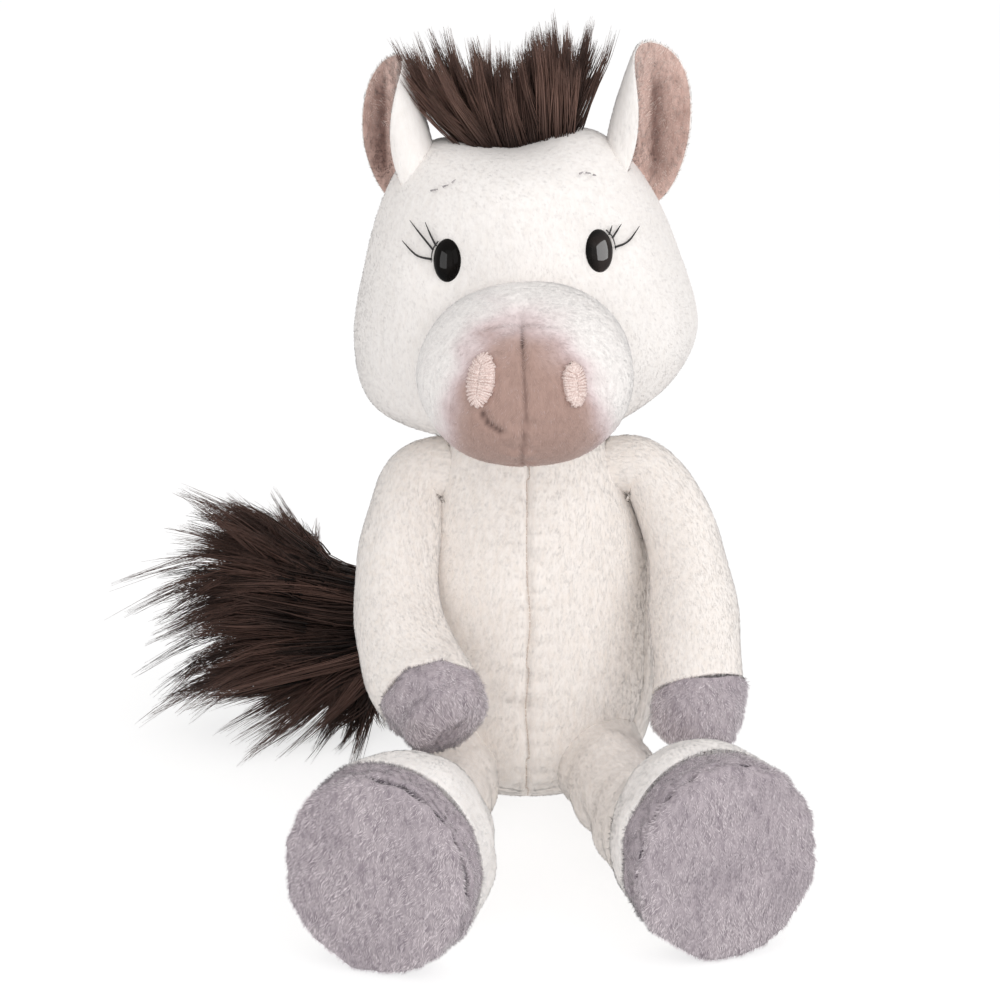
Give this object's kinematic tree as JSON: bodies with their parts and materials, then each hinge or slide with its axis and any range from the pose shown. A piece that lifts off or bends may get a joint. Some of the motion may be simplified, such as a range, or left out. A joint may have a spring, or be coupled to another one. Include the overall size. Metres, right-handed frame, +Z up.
{
  "type": "plush horse",
  "caption": "Sitting soft horse toy with stuffed body, head and limbs, darker hooves and nose, long hair on mane and tail, and sewn joints that swing.",
  "frame": {"origin": "on the floor, in the middle of the flat of the seat", "axes": "+Z up, the horse faces -Y, its own left side is +X"},
  "size_m": [0.2052, 0.2191, 0.2266],
  "materials": {
    "white_plush": "short off-white plush pile",
    "cream_plush": "short cream plush pile, slightly warmer",
    "nose_plush": "short taupe pile that fades to white at its edge",
    "ear_plush": "short dusty pink pile",
    "hoof_plush": "short lilac grey pile",
    "long_hair": "long dark brown hair with soft shine",
    "eye_gloss": "polished black",
    "washer_plastic": "moulded, matt",
    "black_thread": "sewn thread",
    "grey_thread": "sewn thread",
    "pink_thread": "satin stitch",
    "fibre_fill": "loose polyester fibre",
    "bean_cloth": "plain woven bag of plastic beans"
  },
  "bodies": {
    "torso": {"torso_front_left_panel": "cream_plush", "torso_front_right_panel": "cream_plush", "torso_back_panel": "cream_plush", "seat_bean_bag": "bean_cloth", "torso_filling": "fibre_fill"},
    "neck": {"neck_filling": "fibre_fill"},
    "head": {"face_panel": "white_plush", "head_back_left_panel": "white_plush", "head_back_right_panel": "white_plush", "head_filling": "fibre_fill", "left_eye": "eye_gloss", "left_eye_washer": "washer_plastic", "right_eye": "eye_gloss", "right_eye_washer": "washer_plastic", "muzzle_band": "white_plush", "nose_left_panel": "nose_plush", "nose_right_panel": "nose_plush", "muzzle_filling": "fibre_fill", "mane_crown": "long_hair", "mane_nape": "long_hair", "left_nostril_stitching": "pink_thread", "right_nostril_stitching": "pink_thread", "left_lashes": "black_thread", "right_lashes": "black_thread", "left_brow_stitch": "grey_thread", "right_brow_stitch": "grey_thread"},
    "left_ear": {"left_ear_back": "white_plush", "left_ear_lining": "ear_plush"},
    "right_ear": {"right_ear_back": "white_plush", "right_ear_lining": "ear_plush"},
    "left_arm": {"left_arm_sleeve": "white_plush", "left_front_hoof": "hoof_plush", "left_arm_filling": "fibre_fill"},
    "right_arm": {"right_arm_sleeve": "white_plush", "right_front_hoof": "hoof_plush", "right_arm_filling": "fibre_fill"},
    "left_leg": {"left_leg_sleeve": "white_plush", "left_foot_upper": "white_plush", "left_hoof_band": "hoof_plush", "left_hoof_sole": "hoof_plush", "left_leg_filling": "fibre_fill"},
    "right_leg": {"right_leg_sleeve": "white_plush", "right_foot_upper": "white_plush", "right_hoof_band": "hoof_plush", "right_hoof_sole": "hoof_plush", "right_leg_filling": "fibre_fill"},
    "tail": {"tail_stub": "long_hair", "tail_hair": "long_hair"}
  },
  "joints": [
    {"name": "head_turn", "type": "hinge", "parent": "torso", "child": "neck", "pos_m": [0.002, 0, 0.11], "axis": [0, 0, 1], "range_deg": [-25, 25], "stiffness_Nm_per_rad": 0.35},
    {"name": "head_nod", "type": "hinge", "parent": "neck", "child": "head", "pos_m": [0.002, 0, 0.11], "axis": [1, 0, 0], "range_deg": [-8, 8], "stiffness_Nm_per_rad": 3},
    {"name": "left_ear_fold", "type": "hinge", "parent": "head", "child": "left_ear", "pos_m": [0.03397, -0.00212, 0.18455], "axis": [0.5282, 0.848, -0.0425], "range_deg": [0, 20], "stiffness_Nm_per_rad": 0.03},
    {"name": "right_ear_fold", "type": "hinge", "parent": "head", "child": "right_ear", "pos_m": [-0.03657, -0.00212, 0.18036], "axis": [0.5195, -0.848, 0.1047], "range_deg": [0, 20], "stiffness_Nm_per_rad": 0.03},
    {"name": "left_arm_swing", "type": "hinge", "parent": "torso", "child": "left_arm", "pos_m": [0.028, -0.004, 0.096], "axis": [-1, 0, 0], "range_deg": [0, 35], "stiffness_Nm_per_rad": 0.25},
    {"name": "right_arm_swing", "type": "hinge", "parent": "torso", "child": "right_arm", "pos_m": [-0.028, -0.004, 0.096], "axis": [-1, 0, 0], "range_deg": [0, 35], "stiffness_Nm_per_rad": 0.25},
    {"name": "left_leg_swing", "type": "hinge", "parent": "torso", "child": "left_leg", "pos_m": [0.022, -0.022, 0], "axis": [1, 0, 0], "range_deg": [0, 90], "stiffness_Nm_per_rad": 0.4},
    {"name": "right_leg_swing", "type": "hinge", "parent": "torso", "child": "right_leg", "pos_m": [-0.022, -0.022, 0], "axis": [1, 0, 0], "range_deg": [0, 90], "stiffness_Nm_per_rad": 0.4},
    {"name": "tail_swing", "type": "hinge", "parent": "torso", "child": "tail", "pos_m": [-0.004, 0.03676, 0.03114], "axis": [0, 0, 1], "range_deg": [-75, 0], "stiffness_Nm_per_rad": 0.05}
  ]
}
